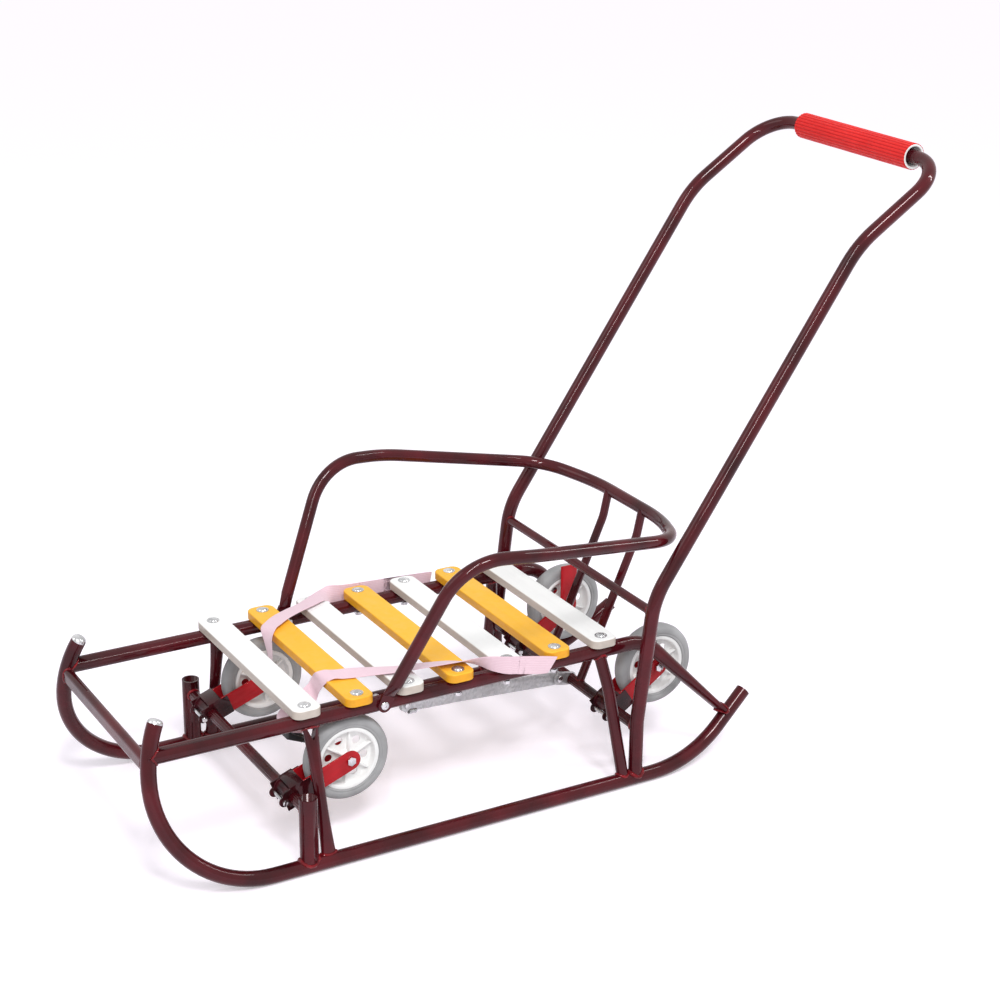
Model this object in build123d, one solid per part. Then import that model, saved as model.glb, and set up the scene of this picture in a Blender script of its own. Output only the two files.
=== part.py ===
from build123d import *
import os
from math import atan, atan2, cos, degrees, hypot, radians, sin, sqrt

# A child's push sled with four wheels that swing up between its runners.
# Millimetres, +Z up, -Y to the front, +X to the rider's left. The origin is
# on the ground, in the middle of the sled's plan.

# Side frames: each runner and its rail lie in a plane that leans inwards.
frame_tube = 21.0  # outer diameter of the runner and rail tube
frame_wall = 1.5
ground_half = 200.0  # half the track of the runners on the ground
lean = 0.26  # how far a side frame leans inwards for each unit of height
nose_y = -598.5  # foremost point of the runner's centre line
front_bend = 149.5  # radius of the runner's front bend
nose_bend = 191.0  # radius of the nose, which leans back above the front bend
nose_angle = 25.6
tail_start_y = 135.5  # where the runner leaves the ground at the back
tail_bend = 190.0
tail_angle = 39.0
tail_straight = 66.0
cap_thick = 2.5  # plugs that close the runner's ends
weld_gap = 0.1  # left round a tube by each piece that is cut to fit against it
hole_over = 1.0  # how far a drill runs past the faces it goes through
quarter_turn = 90.0

# Rails, which carry the seat.
rail_z = 195.5  # centre line of the rail's level stretch
rail_bend = 60.0  # radius of the bend behind the seat
rail_bend_y = 146.5  # corner where the rail turns down to the runner
rail_foot_y = 268.0
rail_foot_z = 70.0

# Cross members.
nose_tube_tall = 24.0  # flat oval tube between the noses
nose_tube_thick = 13.0
nose_tube_z = 184.0
axle_bar = 16.0  # outer diameter of the bars the forks turn on
axle_bar_wall = 2.0
axle_bar_z = 90.0
front_bar_y = -398.9
rear_bar_y = 108.1

# Struts between the rails and the runners.
front_strut_top_y = -373.0
front_strut_foot_y = -370.0
strut_top = (12.0, 5.0)  # half sizes of a front strut's flattened top
strut_middle = (8.0, 8.0)
strut_foot = (11.0, 5.5)  # half sizes of its flattened foot
strut_middle_share = 0.4  # where its round stretch is, from its top
rear_strut = 17.0  # outer diameter of a rear strut
rear_strut_wall = 1.5
rear_strut_top_y = 71.5
rear_strut_mid = (81.0, 140.0)
rear_strut_foot_y = 88.5
rear_strut_bend = 200.0

# Upright sockets: open ones in front, posts with spigots behind.
socket_outer = 25.0
socket_bore = 20.5
socket_top_z = 110.8
socket_floor_z = 30.0
post_bend_z = 98.0
post_rise = 12.0  # length of the post's leaning end
spigot_length = 40.0
spigot_clearance = 0.08

# Handle.
handle_tube = 20.0
handle_wall = 1.5
leg_lean_y = 0.119  # how far the lower leg leans back for each unit of height
lower_bend_z = 281.0
upper_bend = (444.0, 743.0)
grip_axis = (589.5, 838.8)
lower_bend_radius = 120.0
upper_bend_radius = 150.0
grip_bend_radius = 60.0
handle_cross_tube = 13.0
handle_cross_z = 261.0
grip_outer = 38.0
grip_half = 131.0
grip_clearance = 0.3

# Seat slats and their bolts.
slat_count = 7
slat_overhang = 16.0  # from the rail's centre line to the slat's end
slat_width = 40.0
slat_thick = 12.0
slat_pitch = 75.7
first_slat_y = -379.5
slat_corner = 12.0
slat_edge = 2.0
bolt_shank = 6.0
bolt_head = 18.0
bolt_head_high = 3.5
bolt_head_round = 2.8
bolt_clearance = 0.1
nut_across = 10.0
nut_high = 5.0
blind_bolts = (0, 1, 2, 6)  # slats whose bolts end in the rail, above a strut, a wheel or the strip's tab

# Bow: arm rests and back rest in one bent tube.
bow_tube = 18.0
bow_wall = 1.5
bow_bolt_y = -269.5
bow_bolt_z = 197.0
bow_tongue_thick = 4.0
bow_tongue_width = 19.0
bow_flat = 14.0  # from the bolt to the end of the flattened stretch
bow_neck = 34.0  # from the bolt to where the tube is round again
bow_shoulder = (60.1, -176.0, 401.0)  # corners of the bow: distance outside the rail, y and z
bow_side = (70.1, -75.0, 393.0)
bow_corner = (26.1, 176.0, 352.0)
bow_back = (-66.9, 213.0, 344.0)
bow_bolt_head = 12.0
bow_bolt_head_high = 2.5
bow_radii = [85.0, 200.0, 75.0, 200.0, 200.0, 75.0, 200.0, 85.0]
back_bar_tube = 12.5
back_bar_wall = 1.2
back_bar_x = 45.0
back_bar_bend = (200.5, 306.0)
back_bar_bend_radius = 60.0
back_bar_top_run = 8.0  # how far the bar still leans back above its bend

# Wheels and their forks.
tyre_radius = 61.0
tyre_width = 23.0
tyre_round = 9.0
rim_radius = 44.8
rim_inner = 39.0
rim_width = 20.0
hub_web = 5.0
hub_boss = 9.0
hub_hole_radius = 5.0
hub_hole_circle = 26.0
hub_holes = 6
hub_rib = 2.4
hub_rib_inset = 2.0  # from the rim's face to the ribs
hub_rib_sunk = 0.2  # how far a rib runs into the rim and into the boss
axle_bolt = 8.0
running_clearance = 0.05
fork_length = 90.0  # from the axle bar to the wheel's axle
fork_plate = 2.5
fork_width = 28.0
fork_gap = 29.0  # between the fork's two arms
fork_sleeve = 22.0
fork_lug_offset = 14.0
fork_lug_radius = 7.0
fork_lug_bolt = 5.0
hub_side_play = 0.6
lug_head = 8.0
lug_head_high = 2.5
axle_head = 13.0
axle_head_high = 3.5
front_wheel_inset = 14.4  # from the rail's centre line in to the wheel's middle
rear_wheel_inset = 27.9
front_fork_angle = 20.6
rear_fork_angle = 34.4
lever_width = 27.0
lever_top = 66.0  # height of the foot lever above the wheel's axle

# Dark bracket that clamps each fork to its axle bar.
bracket_plate = 2.0
bracket_back = 19.0  # how far it reaches behind the bar
bracket_cheek = 30.0  # how far its cheeks reach along the fork
bracket_web = 20.0  # how far its web reaches along the fork

# Zinc-plated lock strip, from the left rail to the middle of the rear axle bar.
strip_front_inset = 10.9  # of its front bolt, from the rail's centre line
strip_front_y = -227.5
strip_front_drop = 16.5  # of its front bolt, below the rail's centre line
strip_rear_x = 30.0
strip_rear_run = 28.1  # of its rear bolt, in front of the rear axle bar
strip_rear_rise = 9.7  # of its rear bolt, above the rear axle bar
strip_thick = 2.5
strip_width = 20.0
strip_bolt = 6.0
strip_bolt_head = 11.0
strip_bolt_head_high = 3.0
strip_tab_up = 14.0  # how far the front tab reaches above its bolt

# Webbing belt, in two strands. Each lies on the slats, drops through the first gap between them
# at its front end, and folds down outside the slats' ends behind.
belt_width = 25.0
belt_thick = 1.4
belt_gap = 0.3  # clearance below the belt, over the slats or over a bolt head
belt_side_gap = 2.8  # between the slats' ends and the stretch outside them
# Points of the stretch on the slats: x, and slats back from the first one. Points of the stretch
# outside them: slats back, and height above the start of the fold.
belt_left_flat = [(108.5, 0.66), (106.0, 1.05), (109.0, 2.0), (112.0, 2.635), (118.0, 3.07)]
belt_left_side = [(3.48, 11.0), (3.7, 11.0), (4.18, 4.4), (4.7, -5.0)]
belt_left_drop = [(108.0, 0.0), (97.5, 50.0)]  # x, and distance down the drop
belt_left_lean = (-30.0, -69.0)  # direction of the drop, in y and z
belt_right_flat = [(-98.0, 0.68), (-110.0, 1.01), (-131.0, 1.55), (-149.0, 2.04)]
belt_right_side = [(2.6, 0.5), (3.24, -3.0), (3.7, -5.0), (4.7, -9.0)]
belt_right_drop = [(-97.0, 0.0), (-90.0, 38.0)]
belt_right_lean = (13.0, -40.0)
buckle_size = (30.0, 9.0, 24.0)
buckle_gap = 0.3
buckle_round = 3.0

tube_r = frame_tube / 2
lean_angle = atan(lean)
slat_top = rail_z + tube_r + slat_thick


def side_x(z):
    """Distance of the side frame's middle plane from the centre at height z."""
    return ground_half - lean * (z - tube_r)


side_plane = Plane(
    origin=(ground_half, 0, tube_r),
    x_dir=(0, 1, 0),
    z_dir=(cos(lean_angle), 0, sin(lean_angle)),
)


def on_side(y, z):
    """Point of the side frame's plane, as that plane's own coordinates."""
    return (y, (z - tube_r) / cos(lean_angle))


def side_point(y, z):
    return Vector(side_x(z), y, z)


def disc(path, radius):
    return Plane(origin=path @ 0, z_dir=path % 0) * Circle(radius)


def rod(path, diameter):
    return sweep(disc(path, diameter / 2), path=path)


def pipe(path, diameter, wall):
    return rod(path, diameter) - rod(path, diameter - 2 * wall)


def straight(a, b):
    return Wire([Line(a, b).edge()])


def cylinder_between(a, b, diameter):
    return rod(straight(a, b), diameter)


def x_rod(centre, low, high, diameter):
    return cylinder_between((low, centre.Y, centre.Z), (high, centre.Y, centre.Z), diameter)


def link(a, b, width):
    """Outline with round ends about two points."""
    length = hypot(b[0] - a[0], b[1] - a[1])
    turn = degrees(atan2(b[1] - a[1], b[0] - a[0]))
    return Pos((a[0] + b[0]) / 2, (a[1] + b[1]) / 2) * SlotCenterToCenter(length, width, rotation=turn)


def mirrored(shape):
    return mirror(shape, about=Plane.YZ)


def put(shape, name):
    solids = shape.solids()
    result = solids[0] if len(solids) == 1 else Compound(children=list(solids))
    export_step(result, f"parts/{name}.step")


def put_pair(shape, name):
    put(shape, f"{name}_left")
    put(mirrored(shape), f"{name}_right")


# ---------------------------------------------------------------- side frames
def runner_path():
    front_start = nose_y + front_bend
    ground = Line((tail_start_y, 0), (front_start, 0))
    front = JernArc(start=ground @ 1, tangent=(-1, 0), radius=front_bend, arc_size=-quarter_turn)
    nose = JernArc(start=front @ 1, tangent=(0, 1), radius=nose_bend, arc_size=-nose_angle)
    tail = JernArc(start=ground @ 0, tangent=(1, 0), radius=tail_bend, arc_size=tail_angle)
    tail_end = tail @ 1 + (tail % 1) * tail_straight
    last = Line(tail @ 1, tail_end)
    return side_plane * Wire([nose.edge(), front.edge(), ground.edge(), tail.edge(), last.edge()])


def rail_path():
    start = nose_y
    level = FilletPolyline(
        on_side(start, rail_z),
        on_side(rail_bend_y, rail_z),
        on_side(rail_foot_y, rail_foot_z),
        radius=rail_bend,
    )
    return side_plane * Wire(level.edges())


runner_wire = runner_path()
runner_full = rod(runner_wire, frame_tube)
runner = runner_full - rod(runner_wire, frame_tube - 2 * frame_wall)
rail_wire = rail_path()
rail_full = rod(rail_wire, frame_tube)
slat_ys = [first_slat_y + slat_pitch * i for i in range(slat_count)]
runner_seat = rod(runner_wire, frame_tube + 2 * weld_gap)
rail_seat = rod(rail_wire, frame_tube + 2 * weld_gap)
rail_bolt_x = side_x(rail_z)


def cap(at, along):
    return cylinder_between(at - along * cap_thick, at, frame_tube - 2 * frame_wall)


def end_caps(wire):
    ends = []
    for position in (0, 1):
        point = wire @ position
        outwards = (wire % position) * (1 if position else -1)
        ends.append(cap(point, outwards))
    return ends


def upright_rod(x, y, low, high, diameter):
    on_base = (Align.CENTER, Align.CENTER, Align.MIN)
    return Pos(x, y, low) * Cylinder(diameter / 2, high - low, align=on_base)


def hexagon(across):
    """Outline of a nut or a bolt head, from its size across the flats."""
    return RegularPolygon(across / sqrt(3), 6)


rail = rail_full - rod(rail_wire, frame_tube - 2 * frame_wall) - runner_seat
for number, y in enumerate(slat_ys):
    low = rail_z if number in blind_bolts else rail_z - tube_r - hole_over
    rail -= upright_rod(rail_bolt_x, y, low, rail_z + tube_r + hole_over, bolt_shank + 2 * bolt_clearance)
bow_hole = cylinder_between(
    (rail_bolt_x - 2 * tube_r, bow_bolt_y, bow_bolt_z),
    (rail_bolt_x + 2 * tube_r, bow_bolt_y, bow_bolt_z),
    bolt_shank + 2 * bolt_clearance,
)
rail -= bow_hole

# ------------------------------------------------------------- cross members
nose_rise = (nose_tube_z - tube_r) / cos(lean_angle) - front_bend
nose_tube_centre = nose_y + nose_bend - sqrt(nose_bend**2 - nose_rise**2)


def largest(shape):
    return shape.solids().sort_by(SortBy.VOLUME)[-1]


def both_halves(half):
    """A cross member, from its left half."""
    return half + mirrored(half)


def nose_cross_tube():
    section = Plane.YZ * Pos(nose_tube_centre, nose_tube_z)
    outer = section * SlotOverall(nose_tube_tall, nose_tube_thick, rotation=90)
    wall = 2 * frame_wall
    inner = section * SlotOverall(nose_tube_tall - wall, nose_tube_thick - wall, rotation=90)
    half = extrude(outer - inner, amount=side_x(nose_tube_z)) - runner_seat - rail_seat
    return both_halves(largest(half))


def axle_bar_tube(y, upright):
    """Bar between the uprights of the two sides, whose outer diameter is given."""
    line = straight((0, y, axle_bar_z), (ground_half, y, axle_bar_z))
    half = pipe(line, axle_bar, axle_bar_wall)
    half -= upright_rod(ground_half, y, 0, socket_top_z, upright + 2 * weld_gap)
    return both_halves(largest(half))


# --------------------------------------------------------------------- struts
def front_strut():
    top = side_point(front_strut_top_y, rail_z)
    foot = side_point(front_strut_foot_y, tube_r)
    along = (foot - top).normalized()
    sections = []
    middle = top + (foot - top) * strut_middle_share
    for point, half_sizes in ((top, strut_top), (middle, strut_middle), (foot, strut_foot)):
        plane = Plane(origin=point, x_dir=(0, 1, 0), z_dir=along)
        sections.append(plane * Ellipse(*half_sizes))
    return loft(sections) - rail_seat - runner_seat


def rear_strut_tube():
    corners = FilletPolyline(
        on_side(rear_strut_top_y, rail_z),
        on_side(*rear_strut_mid),
        on_side(rear_strut_foot_y, tube_r),
        radius=rear_strut_bend,
    )
    wire = side_plane * Wire(corners.edges())
    return pipe(wire, rear_strut, rear_strut_wall) - rail_seat - runner_seat


# -------------------------------------------------------------------- sockets
def open_socket():
    low = tube_r
    body = upright_rod(ground_half, front_bar_y, low, socket_top_z, socket_outer)
    bore = upright_rod(ground_half, front_bar_y, socket_floor_z, socket_top_z + hole_over, socket_bore)
    return body - bore - runner_seat


leg_direction = Vector(0, leg_lean_y, 1).normalized()
post_bend_point = Vector(ground_half, rear_bar_y, post_bend_z)
post_top = post_bend_point + leg_direction * post_rise


def spigot_post():
    low = Vector(ground_half, rear_bar_y, tube_r)
    body = cylinder_between(low, post_bend_point, handle_tube)
    body += Pos(*post_bend_point) * Sphere(handle_tube / 2)
    body += cylinder_between(post_bend_point, post_top, handle_tube)
    spigot_d = handle_tube - 2 * handle_wall - 2 * spigot_clearance
    body += cylinder_between(post_top, post_top + leg_direction * spigot_length, spigot_d)
    return body - runner_seat


# --------------------------------------------------------------------- handle
def leg_point(z):
    """y and z of the straight lower leg at height z."""
    return (post_top.Y + leg_lean_y * (z - post_top.Z), z)


def handle_path():
    points = [post_top]
    points.append(Vector(ground_half, *leg_point(lower_bend_z)))
    points.append(Vector(ground_half, *upper_bend))
    points.append(Vector(ground_half, *grip_axis))
    far = [Vector(-p.X, p.Y, p.Z) for p in reversed(points)]
    radii = [lower_bend_radius, upper_bend_radius, grip_bend_radius]
    line = FilletPolyline(*points, *far, radius=radii + radii[::-1])
    return Wire(line.edges())


handle_wire = handle_path()
handle_full = rod(handle_wire, handle_tube)
handle = handle_full - rod(handle_wire, handle_tube - 2 * handle_wall)


def handle_cross():
    at = leg_point(handle_cross_z)
    line = straight((0, *at), (ground_half, *at))
    half = pipe(line, handle_cross_tube, handle_wall) - rod(handle_wire, handle_tube + 2 * weld_gap)
    return both_halves(largest(half))


def grip():
    a = (-grip_half, *grip_axis)
    b = (grip_half, *grip_axis)
    return cylinder_between(a, b, grip_outer) - cylinder_between(a, b, handle_tube + 2 * grip_clearance)


# ----------------------------------------------------------------------- seat
slat_length = 2 * (rail_bolt_x + slat_overhang)


def slat(y):
    blank = Pos(0, y, slat_top - slat_thick) * Box(
        slat_length, slat_width, slat_thick, align=(Align.CENTER, Align.CENTER, Align.MIN))
    blank = fillet(blank.edges().filter_by(Axis.Z), slat_corner)
    blank = fillet(blank.faces().sort_by(Axis.Z)[-1].edges(), slat_edge)
    low = slat_top - slat_thick - hole_over
    for x in (-rail_bolt_x, rail_bolt_x):
        blank -= upright_rod(x, y, low, slat_top + hole_over, bolt_shank + 2 * bolt_clearance)
    return blank


def slat_bolt(x, y):
    has_nut = slat_ys.index(y) not in blind_bolts
    low = rail_z - tube_r - nut_high if has_nut else rail_z
    shank = upright_rod(x, y, low, slat_top, bolt_shank)
    dome = upright_rod(x, y, slat_top, slat_top + bolt_head_high, bolt_head)
    bolt = shank + fillet(dome.edges().sort_by(Axis.Z)[-1], bolt_head_round)
    if has_nut:
        bolt += Pos(x, y, low) * extrude(hexagon(nut_across), amount=nut_high)
    return bolt


# ------------------------------------------------------------------------ bow
def bow_parts():
    bolt_point = Vector(rail_bolt_x + tube_r + bow_tongue_thick / 2, bow_bolt_y, bow_bolt_z)
    corners = []
    for outside, y, z in (bow_shoulder, bow_side, bow_corner, bow_back):
        corners.append(Vector(rail_bolt_x + outside, y, z))
    along = (corners[0] - bolt_point).normalized()
    neck = bolt_point + along * bow_neck
    points = [neck] + corners
    far = [Vector(-p.X, p.Y, p.Z) for p in reversed(points)]
    line = FilletPolyline(*points, *far, radius=bow_radii)
    wire = Wire(line.edges())
    seat = rod(wire, bow_tube + 2 * weld_gap)
    tube = pipe(wire, bow_tube, bow_wall)
    flat_along = Vector(0, along.Y, along.Z).normalized()
    flat_start = bolt_point + flat_along * bow_flat
    round_plane = Plane(origin=neck, x_dir=(1, 0, 0), z_dir=along)
    flat_plane = Plane(origin=flat_start, x_dir=(1, 0, 0), z_dir=flat_along)
    taper = loft([
        flat_plane * Ellipse(bow_tongue_thick / 2, bow_tongue_width / 2),
        round_plane * Circle(bow_tube / 2),
    ])
    tongue_low = bolt_point - Vector(bow_tongue_thick / 2, 0, 0)
    tongue_plane = Plane(origin=tongue_low, x_dir=flat_along, z_dir=(1, 0, 0))
    outline = Circle(bow_tongue_width / 2) + Pos(bow_flat / 2, 0) * Rectangle(bow_flat, bow_tongue_width)
    tongue = extrude(tongue_plane * outline, amount=bow_tongue_thick)
    end = taper + tongue - bow_hole
    return seat, tube, end


bow_seat, bow_tube_solid, bow_end = bow_parts()
bow = bow_tube_solid + bow_end + mirrored(bow_end)


def bow_bolt():
    inner = rail_bolt_x - tube_r - nut_high
    outer = rail_bolt_x + tube_r + bow_tongue_thick
    at = Vector(0, bow_bolt_y, bow_bolt_z)
    shank = x_rod(at, inner, outer, bolt_shank)
    head = x_rod(at, outer, outer + bow_bolt_head_high, bow_bolt_head)
    nut_plane = Plane(origin=(inner, bow_bolt_y, bow_bolt_z), z_dir=(1, 0, 0))
    return shank + head + extrude(nut_plane * hexagon(nut_across), amount=nut_high)


def back_bar():
    top = Vector(back_bar_x, back_bar_bend[0] + back_bar_top_run, bow_back[2])
    bend = Vector(back_bar_x, *back_bar_bend)
    foot = Vector(back_bar_x, rear_bar_y, axle_bar_z)
    line = FilletPolyline(top, bend, foot, radius=back_bar_bend_radius)
    bar = pipe(Wire(line.edges()), back_bar_tube, back_bar_wall) - bow_seat
    seat = x_rod(Vector(0, rear_bar_y, axle_bar_z), 0, ground_half, axle_bar + 2 * weld_gap)
    return largest(bar - seat)


# -------------------------------------------------------------- wheel and fork
def axle_point(wheel_x, pivot_y, angle):
    return Vector(
        wheel_x,
        pivot_y + fork_length * cos(radians(angle)),
        axle_bar_z + fork_length * sin(radians(angle)),
    )


def fork(wheel_x, pivot_y, angle, lever=False):
    pivot = Vector(wheel_x, pivot_y, axle_bar_z)
    axle = axle_point(wheel_x, pivot_y, angle)
    direction = Vector(0, cos(radians(angle)), sin(radians(angle)))
    arm_plane = Plane(origin=pivot, x_dir=direction, z_dir=(1, 0, 0))
    outline = link((0, 0), (fork_length, 0), fork_width)
    outline += Pos(-fork_lug_offset, 0) * Circle(fork_lug_radius)
    result = None
    for side in (-1, 1):
        offset = side * (fork_gap + fork_plate) / 2 - fork_plate / 2
        arm = extrude(arm_plane.offset(offset) * outline, amount=fork_plate)
        result = arm if result is None else result + arm
    result += x_rod(pivot, wheel_x - fork_gap / 2, wheel_x + fork_gap / 2, fork_sleeve)
    if lever:
        inner = wheel_x - (fork_gap / 2 + fork_plate) * (1 if wheel_x > 0 else -1)
        inner += 0 if wheel_x > 0 else -fork_plate
        lever_plane = Plane(origin=(inner, axle.Y, axle.Z), x_dir=(0, 1, 0), z_dir=(1, 0, 0))
        blade = Pos(0, lever_top / 2) * Rectangle(lever_width, lever_top) + Circle(lever_width / 2)
        result += extrude(lever_plane * blade, amount=fork_plate)
    wide = fork_gap + 4 * fork_plate
    result -= x_rod(pivot, wheel_x - wide, wheel_x + wide, axle_bar + 2 * running_clearance)
    result -= x_rod(axle, wheel_x - wide, wheel_x + wide, axle_bolt)
    lug = pivot - direction * fork_lug_offset
    result -= x_rod(lug, wheel_x - wide, wheel_x + wide, fork_lug_bolt)
    return result


def fork_bracket(wheel_x, pivot_y, angle):
    """Folded plate over a fork's base: a cheek outside each arm, and a web above them."""
    pivot = Vector(wheel_x, pivot_y, axle_bar_z)
    direction = Vector(0, cos(radians(angle)), sin(radians(angle)))
    plane = Plane(origin=pivot, x_dir=direction, z_dir=(1, 0, 0))
    half = fork_gap / 2 + fork_plate + weld_gap
    web_low = fork_width / 2 + weld_gap
    height = web_low + bracket_plate
    cheek = link((0, 0), (-fork_lug_offset, 0), 2 * (bracket_back - fork_lug_offset))
    cheek_long = bracket_cheek + fork_lug_offset
    cheek += Pos(cheek_long / 2 - fork_lug_offset, 0) * Rectangle(cheek_long, fork_width)
    cheek += Pos(bracket_web / 2, height / 2) * Rectangle(bracket_web, height)
    result = extrude(plane.offset(half) * cheek, amount=bracket_plate)
    result += extrude(plane.offset(-half) * cheek, amount=-bracket_plate)
    web = Pos(bracket_web / 2, web_low + bracket_plate / 2) * Rectangle(bracket_web, bracket_plate)
    result += extrude(plane * web, amount=half + bracket_plate, both=True)
    reach = half + 2 * bracket_plate
    result -= x_rod(pivot, wheel_x - reach, wheel_x + reach, axle_bar + 2 * running_clearance)
    lug = pivot - direction * fork_lug_offset
    return result - x_rod(lug, wheel_x - reach, wheel_x + reach, fork_lug_bolt)


def through_bolt(centre, wheel_x, shank, head, head_high, half=fork_gap / 2 + fork_plate):
    body = x_rod(centre, wheel_x - half, wheel_x + half, shank)
    for low, high in ((-half - head_high, -half), (half, half + head_high)):
        plane = Plane(origin=(wheel_x + low, centre.Y, centre.Z), z_dir=(1, 0, 0))
        body += extrude(plane * RegularPolygon(head / 2, 6), amount=high - low)
    return body


def revolved(profile, centre):
    ring = revolve(Plane.XZ * profile, axis=Axis.X)
    return Pos(*centre) * ring


def tyre(centre):
    thick = tyre_radius - rim_radius
    profile = Pos(0, rim_radius + thick / 2) * Rectangle(tyre_width, thick)
    profile = fillet(profile.vertices().group_by(Axis.Y)[-1], tyre_round)
    return revolved(profile, centre)


def hub(centre):
    rim = Pos(0, (rim_radius + rim_inner) / 2) * Rectangle(rim_width, rim_radius - rim_inner)
    bore = axle_bolt / 2 + running_clearance
    web = Pos(0, (rim_inner + bore) / 2) * Rectangle(hub_web, rim_inner - bore)
    boss = Pos(0, (hub_boss + bore) / 2) * Rectangle(fork_gap - 2 * hub_side_play, hub_boss - bore)
    body = revolved(rim + web + boss, centre)
    for i in range(hub_holes):
        turn = radians(360 / hub_holes * (i + 0.5))
        hole = centre + Vector(0, cos(turn), sin(turn)) * hub_hole_circle
        body -= x_rod(hole, centre.X - hub_web, centre.X + hub_web, 2 * hub_hole_radius)
    for i in range(hub_holes):
        turn = 360 / hub_holes * i
        middle = (hub_boss + rim_inner) / 2
        rib_long = rim_inner - hub_boss + 2 * hub_rib_sunk
        rib = Rot(turn, 0, 0) * Pos(0, middle, 0) * Box(rim_width - 2 * hub_rib_inset, rib_long, hub_rib)
        body += Pos(*centre) * rib
    return body


# ------------------------------------------------------------ strip and belt
strip_start = Vector(rail_bolt_x - strip_front_inset, strip_front_y, rail_z - strip_front_drop)
strip_finish = Vector(strip_rear_x, rear_bar_y - strip_rear_run, axle_bar_z + strip_rear_rise)
strip_run = strip_finish - strip_start
strip_level = Vector(strip_run.X, strip_run.Y, 0)
strip_plane = Plane(origin=strip_start, x_dir=strip_level, z_dir=strip_level.cross(Vector(0, 0, 1)))
strip_end = (strip_level.length, strip_run.Z)
strip_offset = strip_thick + weld_gap


def strip_hole(at):
    return Pos(*at) * Circle(strip_bolt / 2 + bolt_clearance)


def lock_strip():
    outline = link((0, 0), strip_end, strip_width) - strip_hole((0, 0)) - strip_hole(strip_end)
    return extrude(strip_plane * outline, amount=strip_thick / 2, both=True)


def strip_tab():
    """Plate that hangs from the left rail and carries the strip's front end."""
    outline = link((0, 0), (0, strip_tab_up), strip_width) - strip_hole((0, 0))
    tab = extrude(strip_plane.offset(strip_offset) * outline, amount=strip_thick / 2, both=True)
    return (tab - rail_seat).solids().sort_by(Axis.Z)[0]


def strip_lug():
    """Plate on the rear axle bar that carries the strip's rear end."""
    slant = strip_level.length / strip_level.Y
    bar = ((rear_bar_y - strip_start.Y) * slant, axle_bar_z - strip_start.Z)
    outline = link(strip_end, bar, strip_width) - strip_hole(strip_end)
    lug = extrude(strip_plane.offset(strip_offset) * outline, amount=strip_thick / 2, both=True)
    seat = x_rod(Vector(0, rear_bar_y, axle_bar_z), 0, ground_half, axle_bar + 2 * weld_gap)
    return (lug - seat).solids().sort_by(Axis.Y)[0]


def strip_bolt_at(at):
    base = strip_plane.offset(-strip_thick / 2)
    clamped = strip_offset + strip_thick
    bolt = extrude(base * Pos(*at) * Circle(strip_bolt / 2), amount=clamped)
    head = base * Pos(*at) * hexagon(strip_bolt_head)
    bolt += extrude(head, amount=-strip_bolt_head_high)
    nut = base.offset(clamped) * Pos(*at) * hexagon(nut_across)
    return bolt + extrude(nut, amount=strip_bolt_head_high)


def band(plane, points, thick):
    """Flat stretch of webbing about a row of middle points."""
    outline = link(points[0], points[1], belt_width)
    for start, end in zip(points[1:], points[2:]):
        outline += link(start, end, belt_width)
    return extrude(plane * outline, amount=thick)


def row_y(slats_back):
    return first_slat_y + slat_pitch * slats_back


def drop_plane(flat, lean, top):
    down = Vector(0, *lean).normalized()
    front = Vector(0, row_y(flat[0][1]) - belt_width / 2, top)
    across = Vector(1, 0, 0)
    return Plane(origin=front + down * belt_width / 2, x_dir=across, z_dir=across.cross(down))


def belt(flat, side, drop, lean, low):
    top = low + belt_thick
    fold = slat_length / 2 + belt_side_gap
    last_x = fold + belt_thick - belt_width / 2
    if flat[0][0] < 0:
        fold = -fold - belt_thick
        last_x = -last_x
    level = [(x, row_y(back)) for x, back in flat] + [(last_x, row_y(side[0][0]))]
    result = band(Plane.XY.offset(low), level, belt_thick)
    rise = top - belt_width / 2
    result += band(Plane.YZ.offset(fold), [(row_y(back), rise + z) for back, z in side], belt_thick)
    return result + band(drop_plane(flat, lean, top), drop, belt_thick)


def buckle(flat, drop, lean, low):
    plane = drop_plane(flat, lean, low + belt_thick)
    x, down = drop[-1]
    wide, thick, tall = buckle_size
    middle = plane * Pos(x, down + belt_width / 2 + buckle_gap + tall / 2, belt_thick / 2)
    return middle * fillet(Box(wide, tall, thick).edges(), buckle_round)


os.makedirs("parts", exist_ok=True)

put_pair(runner, "runner")
caps = []
for piece in end_caps(runner_wire):
    caps += [piece, mirrored(piece)]
put(Compound(children=caps), "runner_caps")
put_pair(rail, "rail")
put(nose_cross_tube(), "nose_cross_tube")
put(axle_bar_tube(front_bar_y, socket_outer), "front_axle_bar")
put(axle_bar_tube(rear_bar_y, handle_tube), "rear_axle_bar")
put_pair(front_strut(), "front_strut")
put_pair(rear_strut_tube(), "rear_strut")
put_pair(open_socket(), "front_socket")
put_pair(spigot_post(), "rear_post")

for number, y in enumerate(slat_ys, start=1):
    put(slat(y), f"slat_{number}")
bolts = [slat_bolt(side * rail_bolt_x, y).solid() for y in slat_ys for side in (-1, 1)]
put(Compound(children=bolts), "slat_bolts")

put(bow, "backrest_bow")
put(Compound(children=[bow_bolt().solid(), mirrored(bow_bolt()).solid()]), "bow_bolts")
put_pair(back_bar(), "back_bar")

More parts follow.
